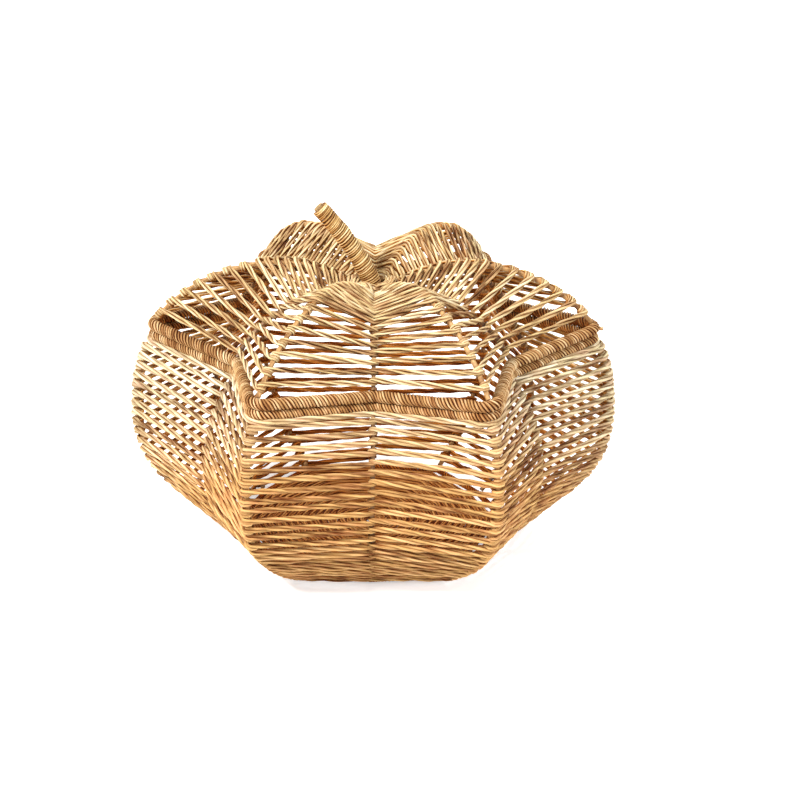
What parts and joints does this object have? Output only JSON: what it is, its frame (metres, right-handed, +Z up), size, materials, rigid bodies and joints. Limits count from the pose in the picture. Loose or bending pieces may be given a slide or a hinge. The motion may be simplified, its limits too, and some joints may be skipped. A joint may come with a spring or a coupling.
{
  "type": "pumpkin-shaped basket with lid",
  "caption": "Pumpkin-shaped open-work basket: straw cord wound round a lobed wire frame, with a lift-off domed lid and a bent stem handle.",
  "frame": {"origin": "centre of the basket's base on the surface that it stands on", "axes": "+Z up, +X to the viewer's right through the crest of a lobe, -Y towards the viewer through a fold between two lobes"},
  "size_m": [0.4056, 0.3513, 0.288],
  "materials": {
    "straw_cord": "matt twisted straw cord",
    "close_straw": "matt twisted straw cord, closely laid",
    "rim_binding": "matt, tightly bound cord",
    "stem_cord": "matt, tightly wound thin cord",
    "cane": "bare cane",
    "wire": "brown coated wire"
  },
  "bodies": {
    "basket": {"base_ring": "wire", "basket_cord_lower": "straw_cord", "basket_cord_middle": "straw_cord", "basket_cord_upper": "straw_cord", "basket_ridge_rib_1": "wire", "basket_ridge_rib_2": "wire", "basket_ridge_rib_3": "wire", "basket_ridge_rib_4": "wire", "basket_ridge_rib_5": "wire", "basket_ridge_rib_6": "wire", "basket_rim": "rim_binding", "basket_valley_rib_1": "wire", "basket_valley_rib_2": "wire", "basket_valley_rib_3": "wire", "basket_valley_rib_4": "wire", "basket_valley_rib_5": "wire", "basket_valley_rib_6": "wire", "floor_weave": "close_straw"},
    "lid": {"crown_cord": "close_straw", "crown_ring": "wire", "lid_cord": "straw_cord", "lid_ridge_rib_1": "wire", "lid_ridge_rib_2": "wire", "lid_ridge_rib_3": "wire", "lid_ridge_rib_4": "wire", "lid_ridge_rib_5": "wire", "lid_ridge_rib_6": "wire", "lid_rim": "rim_binding", "lid_valley_rib_1": "wire", "lid_valley_rib_2": "wire", "lid_valley_rib_3": "wire", "lid_valley_rib_4": "wire", "lid_valley_rib_5": "wire", "lid_valley_rib_6": "wire", "stem_collar": "stem_cord", "stem_core": "cane", "stem_winding": "stem_cord"}
  },
  "joints": [
    {"name": "lid_lift", "type": "slide", "parent": "basket", "child": "lid", "axis": [0, 0, 1], "range_m": [0, 0.2]}
  ]
}
